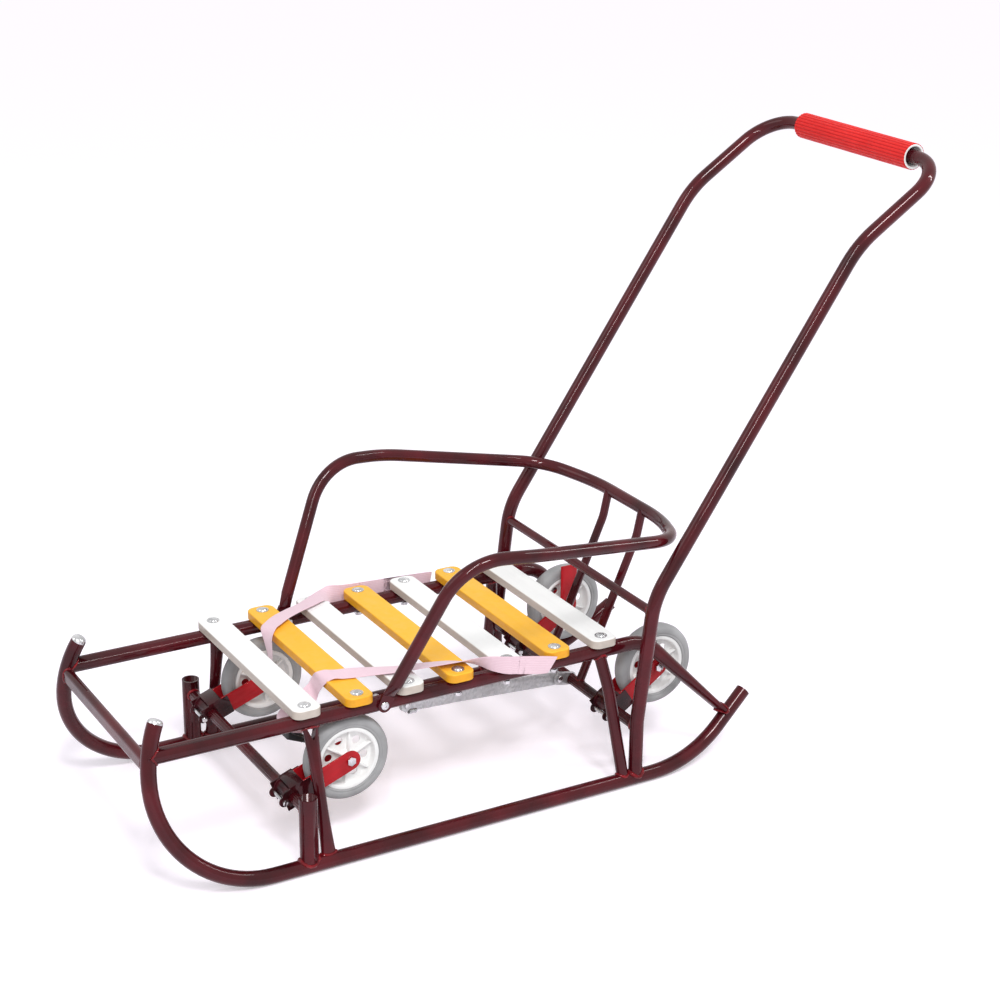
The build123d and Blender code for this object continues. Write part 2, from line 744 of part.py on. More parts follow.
put(lock_strip(), "lock_strip")
put(strip_tab(), "strip_tab")
put(strip_lug(), "strip_lug")
put(Compound(children=[strip_bolt_at((0, 0)).solid(), strip_bolt_at(strip_end).solid()]), "strip_bolts")
belt_left_low = slat_top + belt_gap
belt_right_low = slat_top + bolt_head_high + belt_gap
put(belt(belt_left_flat, belt_left_side, belt_left_drop, belt_left_lean, belt_left_low), "belt_left")
put(belt(belt_right_flat, belt_right_side, belt_right_drop, belt_right_lean, belt_right_low), "belt_right")
put(buckle(belt_left_flat, belt_left_drop, belt_left_lean, belt_left_low), "belt_buckle")

put(handle, "handle_tube")
put(handle_cross(), "handle_crossbar")
put(grip(), "handle_grip")

front_wheel_x = rail_bolt_x - front_wheel_inset
rear_wheel_x = rail_bolt_x - rear_wheel_inset
places = {
    "front_left": (front_wheel_x, front_bar_y, front_fork_angle),
    "front_right": (-front_wheel_x, front_bar_y, front_fork_angle),
    "rear_left": (rear_wheel_x, rear_bar_y, rear_fork_angle),
    "rear_right": (-rear_wheel_x, rear_bar_y, rear_fork_angle),
}
for name, (wheel_x, pivot_y, angle) in places.items():
    axle = axle_point(wheel_x, pivot_y, angle)
    pivot = Vector(wheel_x, pivot_y, axle_bar_z)
    lug = pivot - (axle - pivot).normalized() * fork_lug_offset
    put(fork(wheel_x, pivot_y, angle, lever=name == "rear_right"), f"fork_{name}")
    bolts = [through_bolt(axle, wheel_x, axle_bolt, axle_head, axle_head_high).solid()]
    lug_half = fork_gap / 2 + fork_plate + weld_gap + bracket_plate
    bolts.append(through_bolt(lug, wheel_x, fork_lug_bolt, lug_head, lug_head_high, lug_half).solid())
    put(fork_bracket(wheel_x, pivot_y, angle), f"bracket_{name}")
    put(Compound(children=bolts), f"fork_bolts_{name}")
    put(tyre(axle), f"tyre_{name}")
    put(hub(axle), f"hub_{name}")
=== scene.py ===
from math import cos, pi, radians, sin, sqrt, tau

import bmesh
import bpy
from mathutils import Matrix, Vector, noise


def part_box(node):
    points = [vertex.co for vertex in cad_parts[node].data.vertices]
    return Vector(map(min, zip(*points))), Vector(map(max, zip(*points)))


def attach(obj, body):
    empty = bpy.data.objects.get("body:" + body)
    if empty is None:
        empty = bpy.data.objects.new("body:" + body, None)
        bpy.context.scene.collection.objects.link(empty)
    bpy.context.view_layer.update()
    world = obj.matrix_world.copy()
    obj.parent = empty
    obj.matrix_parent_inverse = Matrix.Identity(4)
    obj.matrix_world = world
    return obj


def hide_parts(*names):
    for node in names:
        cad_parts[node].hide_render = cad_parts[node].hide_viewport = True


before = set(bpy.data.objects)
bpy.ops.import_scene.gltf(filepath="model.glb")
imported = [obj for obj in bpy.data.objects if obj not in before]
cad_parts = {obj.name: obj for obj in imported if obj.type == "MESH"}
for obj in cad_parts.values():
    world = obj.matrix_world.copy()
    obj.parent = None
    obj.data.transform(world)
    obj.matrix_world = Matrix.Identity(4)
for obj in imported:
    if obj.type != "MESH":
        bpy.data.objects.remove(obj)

for leftover in ("Cube", "Light", "Camera"):
    if leftover in bpy.data.objects:
        bpy.data.objects.remove(bpy.data.objects[leftover])
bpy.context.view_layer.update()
scene = bpy.context.scene


# ---------------------------------------------------------------- studio
# A pale paper floor under soft daylight. The sled is looked at from its front
# left quarter, a little above the seat.
scene.view_settings.view_transform = "Standard"
camera_turn = radians(60.0002)
camera_rise = radians(21.0049)
camera_roll = radians(0.6606)
camera_distance = 3.08116
camera_target = Vector((-0.0493, 0.02613, 0.36118))
level_right = Vector((cos(camera_turn), sin(camera_turn), 0))
level_back = Vector((sin(camera_turn), -cos(camera_turn), 0))
camera_back = level_back * cos(camera_rise) + Vector((0, 0, sin(camera_rise)))
level_up = camera_back.cross(level_right)
camera_right = level_right * cos(camera_roll) + level_up * sin(camera_roll)
camera_up = level_up * cos(camera_roll) - level_right * sin(camera_roll)
camera = bpy.data.objects.new("camera", bpy.data.cameras.new("camera"))
camera.data.lens = 77.26
camera.data.sensor_width = 36.0
camera.matrix_world = Matrix.Translation(camera_target + camera_back * camera_distance) @ Matrix(
    (camera_right, camera_up, camera_back)).transposed().to_4x4()
scene.collection.objects.link(camera)
scene.camera = camera


def add(tree, kind, inputs=(), **settings):
    """One node of a tree, with its settings, and its sockets set or joined."""
    made = tree.nodes.new("ShaderNode" + kind)
    for key, value in settings.items():
        setattr(made, key, value)
    for socket, value in dict(inputs).items():
        if isinstance(value, bpy.types.NodeSocket):
            tree.links.new(value, made.inputs[socket])
        else:
            made.inputs[socket].default_value = value
    return made


def seen_directly(tree):
    """1 for camera, mirror and glass rays, which see the plain white backdrop."""
    path = add(tree, "LightPath")
    seen = path.outputs["Is Camera Ray"]
    for ray in ("Is Glossy Ray", "Is Transmission Ray"):
        seen = add(tree, "Math", {0: seen, 1: path.outputs[ray]}, operation="MAXIMUM").outputs[0]
    return seen


world = bpy.data.worlds.new("white_backdrop")
world.use_nodes = True
scene.world = world
sky = world.node_tree
sky.nodes.clear()
daylight = add(sky, "Background", {"Color": (0.96, 0.97, 1.0, 1), "Strength": 0.46})
backdrop = add(sky, "Background", {"Color": (1, 1, 1, 1), "Strength": 1.0})
sky_mix = add(sky, "MixShader", {0: seen_directly(sky), 1: daylight.outputs[0], 2: backdrop.outputs[0]})
add(sky, "OutputWorld", {"Surface": sky_mix.outputs[0]})


def lit(name, kind, energy, centre, away):
    """A lamp at a centre, which shines the opposite way to away."""
    lamp = bpy.data.objects.new(name, bpy.data.lights.new(name, kind))
    lamp.data.energy = energy
    turned_lamp = Vector(away).to_track_quat("Z", "Y").to_matrix().to_4x4()
    lamp.matrix_world = Matrix.Translation(centre) @ turned_lamp
    scene.collection.objects.link(lamp)
    return lamp


for name, source, strength, spread in (
        ("key_sun", (0.75, -0.12, 1.0), 1.15, 12),
        ("front_sun", (-0.3, -0.9, 0.75), 0.35, 30)):
    lit(name, "SUN", strength, (0, 0, 0), source).data.angle = radians(spread)
aim = Vector((0, 0, 0.3))
for name, centre, power in (("tube_light", (2.2, -1.4, 2.6), 48), ("rear_tube_light", (1.0, 2.4, 2.4), 30)):
    lamp = lit(name, "AREA", power, centre, Vector(centre) - aim)
    lamp.data.shape = "RECTANGLE"
    lamp.data.size = 0.16
    lamp.data.size_y = 2.2

floor_mesh = bmesh.new()
bmesh.ops.create_grid(floor_mesh, x_segments=1, y_segments=1, size=14)
floor = bpy.data.objects.new("paper_floor", bpy.data.meshes.new("paper_floor"))
floor_mesh.to_mesh(floor.data)
floor_mesh.free()
scene.collection.objects.link(floor)
floor_paper = bpy.data.materials.new("floor_paper")
floor_paper.use_nodes = True
paper = floor_paper.node_tree
paper.nodes.clear()
plain_paper = add(paper, "BsdfDiffuse", {"Color": (0.8, 0.79, 0.81, 1)})
seen_paper = add(paper, "BsdfDiffuse", {"Color": (0.86, 0.8, 0.88, 1)})
white_glow = add(paper, "Emission", {"Color": (1, 1, 1, 1), "Strength": 0.31})
shaded_paper = add(paper, "AddShader", {0: seen_paper.outputs[0], 1: white_glow.outputs[0]})
paper_mix = add(paper, "MixShader", {
    0: seen_directly(paper), 1: plain_paper.outputs[0], 2: shaded_paper.outputs[0]})
add(paper, "OutputMaterial", {"Surface": paper_mix.outputs[0]})
floor.data.materials.append(floor_paper)


# ----------------------------------------------------------- side frames
# Runners, rails, cross members, sockets, posts, bow and handle are bent steel
# tube, welded, then sprayed with a clear deep red over black, so they look
# nearly black wherever they face away from the light.
def finish(name, color, roughness, metallic=0.0, **sockets):
    """A material with its plain values set, its tree and its main shader."""
    made = bpy.data.materials.new(name)
    made.use_nodes = True
    shader = made.node_tree.nodes["Principled BSDF"]
    shader.inputs["Base Color"].default_value = (*color, 1)
    shader.inputs["Roughness"].default_value = roughness
    shader.inputs["Metallic"].default_value = metallic
    for socket, value in sockets.items():
        shader.inputs[socket.replace("_", " ")].default_value = value
    return made, made.node_tree, shader


def grain(tree, scale, detail=2.0, stretch=(1, 1, 1)):
    """Noise over the object, finer at a larger scale, drawn out along an axis by a small stretch."""
    place = add(tree, "TexCoord")
    stretched = add(tree, "Mapping", {"Vector": place.outputs["Object"], "Scale": stretch})
    values = {"Vector": stretched.outputs[0], "Scale": scale, "Detail": detail}
    return add(tree, "TexNoise", values).outputs["Fac"]


def tint(tree, factor, low, high, start=0.35, end=0.65):
    """A colour between two, as a factor goes from start to end."""
    ramp = add(tree, "ValToRGB", {"Fac": factor}).color_ramp
    ramp.elements[0].position = start
    ramp.elements[1].position = end
    ramp.elements[0].color = (*low, 1)
    ramp.elements[1].color = (*high, 1)
    return tree.nodes[-1].outputs["Color"]


def ranged(tree, factor, low, high, start=0.3, end=0.7):
    """A number between two, as a factor goes from start to end."""
    values = {"Value": factor, "From Min": start, "From Max": end, "To Min": low, "To Max": high}
    return add(tree, "MapRange", values).outputs[0]


def relief(tree, shader, height, depth, strength=1.0):
    """Bumps of a depth in metres on the main shader."""
    bump = add(tree, "Bump", {"Height": height, "Distance": depth, "Strength": strength})
    tree.links.new(bump.outputs[0], shader.inputs["Normal"])


def dulled(tree, shader, scale, low, high, detail=3.0):
    """Roughness that goes between two values over patches of a scale."""
    patches = ranged(tree, grain(tree, scale, detail), low, high)
    tree.links.new(patches, shader.inputs["Roughness"])


def candy_paint(name, shade, glow, cloud=16.0):
    """Clear colour over black, with soft clouds where it is thicker and a faint orange peel."""
    made, tree, shader = finish(
        name, glow, 0.3, 0.15, Specular_IOR_Level=0.03, Coat_Weight=0.5, Coat_Roughness=0.06)
    clouds = tint(tree, grain(tree, cloud, 3.0), shade, glow, 0.25, 0.7)
    tree.links.new(clouds, shader.inputs["Base Color"])
    dulled(tree, shader, 70.0, 0.2, 0.34)
    relief(tree, shader, grain(tree, 380.0), 0.00015, 0.5)
    return made


maroon_paint = candy_paint("candy_maroon", (0.026, 0.0025, 0.004), (0.09, 0.0045, 0.009))
maroon_nodes = [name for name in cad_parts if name.startswith((
    "runner_left", "runner_right", "nose_cross", "front_strut", "rear_strut", "front_socket",
    "rear_post", "handle_tube", "handle_crossbar", "backrest_bow", "back_bar"))]


def cover(names, made):
    """Gives CAD nodes a material."""
    for name in names:
        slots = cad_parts[name].data.materials
        for index in range(len(slots)):
            slots[index] = made


cover(maroon_nodes, maroon_paint)


def piece(name, form, body, made, replaced=(), sharp=35, outwards=True):
    """Makes a bmesh a piece that rides on a body, smooth except where it turns sharply."""
    if outwards:
        bmesh.ops.recalc_face_normals(form, faces=form.faces)
    data = bpy.data.meshes.new(name)
    form.to_mesh(data)
    form.free()
    data.materials.append(made)
    data.shade_smooth()
    data.set_sharp_from_angle(angle=radians(sharp))
    made_piece = bpy.data.objects.new(name, data)
    scene.collection.objects.link(made_piece)
    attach(made_piece, body)
    if replaced:
        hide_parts(*replaced)
    return made_piece


def merged(node):
    """A copy of a CAD node's mesh with its loose triangles joined."""
    form = bmesh.new()
    form.from_mesh(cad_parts[node].data)
    bmesh.ops.remove_doubles(form, verts=form.verts, dist=1e-6)
    return form


mm = 0.001
lean = 0.26
lean_cos = 1 / sqrt(1 + lean * lean)
tube_radius = 10.5 * mm
runner_track = 200.0 * mm
rail_z = 195.5 * mm
side_up = Vector((-lean * lean_cos, 0, lean_cos))


def side_point(y, z):
    """A point of the left side frame, which leans in as it rises."""
    return Vector((runner_track - lean * (z - tube_radius), y, z))


# The rails' feet are pinched flat where they meet the runners.
rail_foot = side_point(268 * mm, 70 * mm)
rail_knee = side_point(146.5 * mm, rail_z)
foot_way = (rail_foot - rail_knee).normalized()
pinch_long = 42 * mm
flat_long = 12 * mm
near_foot = 20 * mm
thinned = 0.5
widened = 0.22
for side, hand in ((1, "left"), (-1, "right")):
    flip = Vector((side, 1, 1))
    form = merged(f"rail_{hand}")
    foot = rail_foot * flip
    way = foot_way * flip
    frame_normal = Vector((side * lean_cos, 0, lean * lean_cos))
    squeeze = way.cross(frame_normal)
    for corner in form.verts:
        offset = corner.co - foot
        back = -offset.dot(way)
        beside = offset.dot(squeeze)
        above = offset.dot(frame_normal)
        if back < pinch_long and max(abs(beside), abs(above)) < near_foot:
            share = 1 - max(0.0, min(1.0, (back - flat_long) / (pinch_long - flat_long)))
            share = share * share * (3 - 2 * share)
            corner.co -= squeeze * beside * thinned * share
            corner.co += frame_normal * above * widened * share
    piece(f"pinched_rail_{hand}", form, "frame", maroon_paint, [f"rail_{hand}"],
          outwards=False)

# Bright plugs close the tips of the runners, and dark ones close their tails.
zinc, tree, shader = finish("bright_zinc", (0.62, 0.62, 0.63), 0.22, 1.0)
dulled(tree, shader, 260.0, 0.12, 0.36)
plating = tint(tree, grain(tree, 90.0, 3.0), (0.45, 0.45, 0.46), (0.72, 0.72, 0.73))
tree.links.new(plating, shader.inputs["Base Color"])
relief(tree, shader, grain(tree, 500.0), 0.00006, 0.6)


def spin(form, angle, steps, rise=0.0, closed=True):
    """Sweeps all of a bmesh round Z, and up it by a rise at each step."""
    bmesh.ops.spin(
        form, geom=form.verts[:] + form.edges[:], cent=(0, 0, 0), axis=(0, 0, 1), dvec=(0, 0, rise),
        angle=angle, steps=steps, space=Matrix.Identity(4), use_merge=closed, use_normal_flip=False,
        use_duplicate=False)


def turned(outline, steps=48):
    """A bmesh turned round Z from an outline of (radius, height) in millimetres."""
    form = bmesh.new()
    outline_corners = [form.verts.new((radius * mm, 0, height * mm)) for radius, height in outline]
    for pair in zip(outline_corners, outline_corners[1:]):
        form.edges.new(pair)
    spin(form, tau, steps)
    bmesh.ops.remove_doubles(form, verts=form.verts, dist=1e-6)
    return form


def stand(form, at, way, turn=0.0):
    """Moves a bmesh made round Z so that its Z points along a way from a place."""
    rotation = Vector(way).to_track_quat("Z", "Y").to_matrix().to_4x4()
    matrix = Matrix.Translation(at) @ rotation @ Matrix.Rotation(turn, 4, "Z")
    bmesh.ops.transform(form, matrix=matrix, verts=form.verts)
    return form


def joined(forms):
    """One bmesh from several."""
    whole = bmesh.new()
    for form in forms:
        part = bpy.data.meshes.new("part")
        bmesh.ops.recalc_face_normals(form, faces=form.faces)
        form.to_mesh(part)
        form.free()
        whole.from_mesh(part)
        bpy.data.meshes.remove(part)
    return whole


def both_sides(make):
    """What a function makes for the left side and, mirrored, for the right."""
    return [make(Vector((side, 1, 1))) for side in (1, -1)]


nose_bend = 191.0 * mm
nose_middle_y = -407.5 * mm
nose_middle_up = 149.5 * mm  # up the leaning side frame


def nose_point(angle):
    """A point of the left runner's nose and the way that the tube runs there."""
    y = nose_middle_y - nose_bend * cos(angle)
    up = nose_middle_up + nose_bend * sin(angle)
    point = Vector((runner_track, y, tube_radius)) + side_up * up
    return point, Vector((0, sin(angle), 0)) + side_up * cos(angle)


tip_outline = [
    (0, 7.2), (3.2, 7.0), (6.2, 6.3), (8.4, 5.0), (9.8, 3.2), (10.4, 1.2), (10.5, 0.1), (10.2, -0.2),
    (8.8, -0.3), (8.7, -3), (0, -3)]
tip, tip_way = nose_point(radians(25.6))
plugs = both_sides(lambda flip: stand(turned(tip_outline), tip * flip, tip_way * flip))
piece("nose_plugs", joined(plugs), "frame", zinc, ["runner_caps"], 50)

black_plastic, tree, shader = finish("black_plastic", (0.018, 0.018, 0.02), 0.42)
dulled(tree, shader, 200.0, 0.34, 0.55)
relief(tree, shader, grain(tree, 900.0), 0.0001, 0.5)
tail_angle = radians(39)
tail_bend = 190 * mm
tail_straight = 66 * mm
tail_start_y = 135.5 * mm
tail_y = tail_start_y + tail_bend * sin(tail_angle) + tail_straight * cos(tail_angle)
tail_up = tail_bend * (1 - cos(tail_angle)) + tail_straight * sin(tail_angle)
tail = Vector((runner_track, tail_y, tube_radius)) + side_up * tail_up
tail_way = Vector((0, cos(tail_angle), 0)) + side_up * sin(tail_angle)
sunk_outline = [(0, -0.8), (6.5, -0.7), (8.3, -0.2), (8.9, -0.4), (8.9, -3), (0, -3)]
plugs = both_sides(lambda flip: stand(turned(sunk_outline), tail * flip, tail_way * flip))
piece("tail_plugs", joined(plugs), "frame", black_plastic)


# ------------------------------------------------------------------ axle bars
# The bars that the forks turn on are drawn tube with shallow flutes along it,
# coped and welded to the front sockets and to the rear posts.
def lift(form, way):
    """Draws all the faces of a bmesh out into a solid."""
    drawn = bmesh.ops.extrude_face_region(form, geom=form.faces[:])["geom"]
    moved = [part for part in drawn if isinstance(part, bmesh.types.BMVert)]
    bmesh.ops.translate(form, vec=way, verts=moved)


def fluted_bar(half_long, radius, flutes=12, depth=0.5 * mm):
    """A bmesh of a solid bar on Z, with rounded flutes sunk along it."""
    form = bmesh.new()
    flute_steps = 6
    bmesh.ops.create_circle(form, cap_ends=True, radius=radius, segments=flutes * flute_steps)
    for index, corner in enumerate(form.verts):
        sunk = (0.5 - 0.5 * cos(tau * index / flute_steps)) ** 3
        corner.co *= 1 - depth / radius * sunk
    lift(form, (0, 0, 2 * half_long))
    bmesh.ops.translate(form, vec=(0, 0, -half_long), verts=form.verts)
    return form


axle_z = 90.0 * mm
front_bar_y = -398.9 * mm
rear_bar_y = 108.1 * mm
bar_radius = 8 * mm
for name, y, half_long in (
        ("front_axle_bar", front_bar_y, 188.6 * mm), ("rear_axle_bar", rear_bar_y, 190.6 * mm)):
    form = stand(fluted_bar(half_long, bar_radius), (0, y, axle_z), (1, 0, 0))
    piece("fluted_" + name, form, "frame", maroon_paint, [name], 30)


# --------------------------------------------------------------- front struts
# Each front strut is a short tube, flattened at both ends, and nicked in a V
# at its top, where it clears the seat bolt under the rail.
def cut_away(target, cutters):
    """A bmesh of a piece less some bmeshes."""
    objects = []
    for form in [target] + cutters:
        data = bpy.data.meshes.new("cut")
        bmesh.ops.recalc_face_normals(form, faces=form.faces)
        form.to_mesh(data)
        form.free()
        objects.append(bpy.data.objects.new("cut", data))
        scene.collection.objects.link(objects[-1])
    for cutter in objects[1:]:
        modifier = objects[0].modifiers.new("cut", "BOOLEAN")
        modifier.operation = "DIFFERENCE"
        modifier.solver = "EXACT"
        modifier.object = cutter
    seen = objects[0].evaluated_get(bpy.context.evaluated_depsgraph_get())
    result = bmesh.new()
    result.from_mesh(seen.to_mesh())
    seen.to_mesh_clear()
    for used in objects:
        bpy.data.meshes.remove(used.data)
    return result


def prism(points, low, high):
    """A bmesh over an outline in X and Z, from one Y to another."""
    form = bmesh.new()
    form.faces.new([form.verts.new((x, low, z)) for x, z in points])
    lift(form, (0, high - low, 0))
    return form


strut_top = side_point(-373.0 * mm, rail_z)
strut_foot = side_point(-370.0 * mm, tube_radius)
strut_way = (strut_foot - strut_top).normalized()
notch_outline = [
    (-8.5 * mm, 4 * mm), (8.5 * mm, 4 * mm), (1.2 * mm, 26 * mm), (-1.2 * mm, 26 * mm)]
forward = Vector((0, 1, 0))
for side, hand in ((1, "left"), (-1, "right")):
    flip = Vector((side, 1, 1))
    notch = prism(notch_outline, -20 * mm, 20 * mm)
    way = strut_way * flip
    across = way.cross(forward).normalized()
    turn = Matrix((forward, across, way)).transposed().to_4x4()
    bmesh.ops.transform(notch, matrix=Matrix.Translation(strut_top * flip) @ turn, verts=notch.verts)
    form = cut_away(merged(f"front_strut_{hand}"), [notch])
    piece(f"nicked_strut_{hand}", form, "frame", maroon_paint, [f"front_strut_{hand}"])


# -------------------------------------------------------------- front sockets
# Open upright sockets of a wider tube stand on the runners. Their feet are
# trimmed to the tops of the runners, under the weld.
socket_foot = 18.5 * mm
for hand in ("left", "right"):
    form = merged(f"front_socket_{hand}")
    bmesh.ops.bisect_plane(
        form, geom=form.verts[:] + form.edges[:] + form.faces[:], dist=1e-7,
        plane_co=(0, 0, socket_foot), plane_no=(0, 0, 1), clear_inner=True)
    open_edges = [edge for edge in form.edges if edge.is_boundary]
    bmesh.ops.triangle_fill(form, edges=open_edges, use_beauty=True)
    piece(f"trimmed_socket_{hand}", form, "frame", maroon_paint, [f"front_socket_{hand}"])


# ---------------------------------------------------------------------- welds
# Each joint of the frame has a bead of weld round it, painted over. The beads
# get a redder paint than the tubes.
weld_paint = candy_paint("candy_weld", (0.05, 0.003, 0.006), (0.24, 0.007, 0.012), 90.0)


def bead(centre, way, sizes, along, host, host_way, host_radius, thick=2.1 * mm):
    """A ring of weld round an oval tube, where it meets a round one.

    The oval has half sizes, the first of them along a direction, and runs along a way
    from its centre. The ring is pushed along that way until it lies on the host's surface.
    """
    form = bmesh.new()
    bmesh.ops.create_circle(form, radius=thick, segments=8)
    bmesh.ops.rotate(form, cent=(0, 0, 0), matrix=Matrix.Rotation(pi / 2, 3, "X"), verts=form.verts)
    bmesh.ops.translate(form, vec=(1, 0, 0), verts=form.verts)
    spin(form, tau, 44)
    way = Vector(way).normalized()
    first = (Vector(along) - way * Vector(along).dot(way)).normalized()
    second = way.cross(first)
    host_way = Vector(host_way).normalized()
    for corner in form.verts:
        spun = Vector((corner.co.x, corner.co.y, 0))
        out = spun.length - 1
        spun.normalize()
        ripple = 1 + 0.35 * noise.noise(spun * 7 + Vector(centre) * 90)
        base = centre + first * spun.x * sizes[0] + second * spun.y * sizes[1]
        ring = base + (first * spun.x + second * spun.y) * out * ripple
        away = base - Vector(host)
        away -= host_way * away.dot(host_way)
        run = way - host_way * way.dot(host_way)
        half = run.dot(away) / run.length_squared
        rest = max(0.0, half * half - (away.length_squared - host_radius ** 2) / run.length_squared)
        corner.co = ring + way * (sqrt(rest) - half + corner.co.z * ripple)
    return form


upward = Vector((0, 0, 1))
runner_line = Vector((runner_track, 0, tube_radius))
rail_line = side_point(0, rail_z)
welds = []
for y, radius in ((front_bar_y, 12.5 * mm), (rear_bar_y, 10 * mm)):
    welds += both_sides(lambda flip: bead(
        (runner_line + forward * y) * flip, upward, (radius, 9.6 * mm), forward,
        runner_line * flip, forward, tube_radius, 3.4 * mm))
    welds += both_sides(lambda flip: bead(
        Vector((runner_track, y, axle_z)) * flip, (-flip.x, 0, 0), (bar_radius, bar_radius), forward,
        Vector((runner_track, y, 0)) * flip, upward, radius))
rear_strut_top = side_point(71.5 * mm, rail_z)
rear_strut_knee = side_point(81 * mm, 140 * mm)
rear_strut_foot = side_point(88.5 * mm, tube_radius)
round_strut = (8.5 * mm, 8.5 * mm)
for top, knee, foot, top_sizes, foot_sizes in (
        (strut_top, strut_foot, strut_foot, (12 * mm, 5 * mm), (11 * mm, 5.5 * mm)),
        (rear_strut_top, rear_strut_knee, rear_strut_foot, round_strut, round_strut)):
    down = knee - top
    up = (knee - foot) if knee != foot else (top - foot)
    welds += both_sides(lambda flip: bead(
        top * flip, down * flip, top_sizes, forward, rail_line * flip, forward, tube_radius))
    welds += both_sides(lambda flip: bead(
        foot * flip, up * flip, foot_sizes, forward, runner_line * flip, forward, tube_radius, 2.2 * mm))
rail_meets, runner_way = nose_point(radians(12.6))
welds += both_sides(lambda flip: bead(
    rail_meets * flip, forward, (tube_radius, tube_radius), upward,
    rail_meets * flip, runner_way * flip, tube_radius))
cross_meets, runner_way = nose_point(radians(8.97))
welds += both_sides(lambda flip: bead(
    cross_meets * flip, (-flip.x, 0, 0), (12 * mm, 6.5 * mm), upward,
    cross_meets * flip, runner_way * flip, tube_radius))
welds += both_sides(lambda flip: bead(
    rail_foot * flip, -foot_way * flip, (12.5 * mm, 6 * mm), Vector((lean_cos, 0, lean * lean_cos)) * flip,
    rail_foot * flip, tail_way * flip, tube_radius, 2.2 * mm))
back_bar_x = 45 * mm
back_bar_radius = 6.25 * mm
back_bar_way = (0, 92.4, 216)
sideways = (1, 0, 0)
welds += both_sides(lambda flip: bead(
    Vector((back_bar_x, rear_bar_y, axle_z)) * flip, back_bar_way, (back_bar_radius, back_bar_radius),
    sideways, Vector((0, rear_bar_y, axle_z)), sideways, bar_radius, 1.4 * mm))
piece("frame_welds", joined(welds), "frame", weld_paint)


def middle_of(node):
    """The middle of a CAD node's box."""
    low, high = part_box(node)
    return (low + high) / 2


crossbar = middle_of("handle_crossbar")
crossbar.x = runner_track
crossbar_radius = 6.5 * mm
leg_way = Vector((0, 0.119, 1)).normalized()
leg_radius = 10 * mm
welds = both_sides(lambda flip: bead(
    crossbar * flip, (-flip.x, 0, 0), (crossbar_radius, crossbar_radius), upward,
    crossbar * flip, leg_way, leg_radius, 1.4 * mm))
piece("handle_welds", joined(welds), "handle", weld_paint)


# -------------------------------------------------------------- seat slats
# Seven planed boards with rounded corners, brushed white and orange in turn.
# The brush leaves faint streaks along each board. The sides are darker, partly from a thinner coat over the
# wood and partly from painted shade.
def blend(tree, factor, first, second):
    """A colour that goes from a first to a second as the factor goes from 0 to 1."""
    mix = add(tree, "Mix", data_type="RGBA")
    tree.links.new(factor, mix.inputs["Factor"])
    for socket, color in ((mix.inputs[6], first), (mix.inputs[7], second)):
        if isinstance(color, bpy.types.NodeSocket):
            tree.links.new(color, socket)
        else:
            socket.default_value = (*color, 1)
    return mix.outputs[2]


def board_paint(name, top, side):
    """Brushed paint, with one colour on the top of a board and a darker one on its sides, partly a thinner
    coat and partly painted shade.
    """
    made, tree, shader = finish(name, top, 0.45, Specular_IOR_Level=0.4)
    streaks = grain(tree, 28.0, 6.0, (0.12, 2.2, 2.2))
    bright = tint(tree, streaks, [0.95 * value for value in top], top, 0.3, 0.6)
    place = add(tree, "TexCoord")
    slope = add(tree, "SeparateXYZ", {0: place.outputs["Normal"]})
    # Painted shade: faces that turn away from up take the darker side colour.
    side_coat_and_shade = tint(tree, grain(tree, 60.0, 5.0, (0.25, 2, 2)), side, [1.12 * value for value in side])
    facing_up = ranged(tree, slope.outputs["Z"], 0, 1, 0.2, 0.9)
    tree.links.new(blend(tree, facing_up, side_coat_and_shade, bright), shader.inputs["Base Color"])
    dulled(tree, shader, 90.0, 0.34, 0.55)
    relief(tree, shader, streaks, 0.0004, 0.5)
    return made


slat_count = 7
# The second colour of each board is for its sides, darkened with painted shade.
white_board = board_paint("white_board", (0.92, 0.92, 0.905), (0.5, 0.44, 0.39))
orange_board = board_paint("orange_board", (0.96, 0.5, 0.035), (0.75, 0.34, 0.012))
for number in range(1, slat_count + 1):
    cover([f"slat_{number}"], white_board if number % 2 else orange_board)


# -------------------------------------------------------------- seat bolts
# Furniture bolts with a broad domed head in a turned-down rim. Three pairs
# come out under the rail and have a nut, and the rest end inside it.
def bevelled(form, edges, width, steps=2):
    """Rounds edges of a bmesh."""
    bmesh.ops.bevel(
        form, geom=edges, offset=width, offset_type="OFFSET", affect="EDGES", segments=steps,
        profile=0.5, material=-1, clamp_overlap=True)


def nut(across, high):
    """A bmesh of a hexagon nut on Z, from its size across the flats, with rounded corners."""
    form = bmesh.new()
    bmesh.ops.create_circle(form, cap_ends=True, radius=across / sqrt(3) * mm, segments=6)
    lift(form, (0, 0, high * mm))
    bevelled(form, form.edges[:], 0.5 * mm)
    return form


head_outline = [
    (0, 3.5), (2.4, 3.4), (4.4, 3.0), (5.8, 2.3), (6.5, 1.4), (6.8, 1.05), (7.3, 1.15), (8.2, 1.3),
    (8.8, 1.0), (9.0, 0.4), (9.0, 0), (3, 0), (3, -22.5), (0, -22.5)]
head_radius = 9 * mm
bolt_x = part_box("slat_bolts")[1].x - head_radius
nutted_slats = (4, 5, 6)
nut_base = 180.0 * mm
bolts = []
for number in range(1, slat_count + 1):
    low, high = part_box(f"slat_{number}")
    for x in (-bolt_x, bolt_x):
        at = Vector((x, (low.y + high.y) / 2, high.z))
        bolts.append(stand(turned(head_outline, 36), at, upward))
        if number in nutted_slats:
            shank = turned([(0, 0), (3, 0), (3, -18), (0, -18)], 24)
            bolts.append(stand(shank, at - upward * 20.5 * mm, upward))
            nut_turn = number * 0.4
            bolts.append(stand(nut(10, 5), Vector((at.x, at.y, nut_base)), upward, nut_turn))
piece("seat_bolts", joined(bolts), "frame", zinc, ["slat_bolts"], 40)


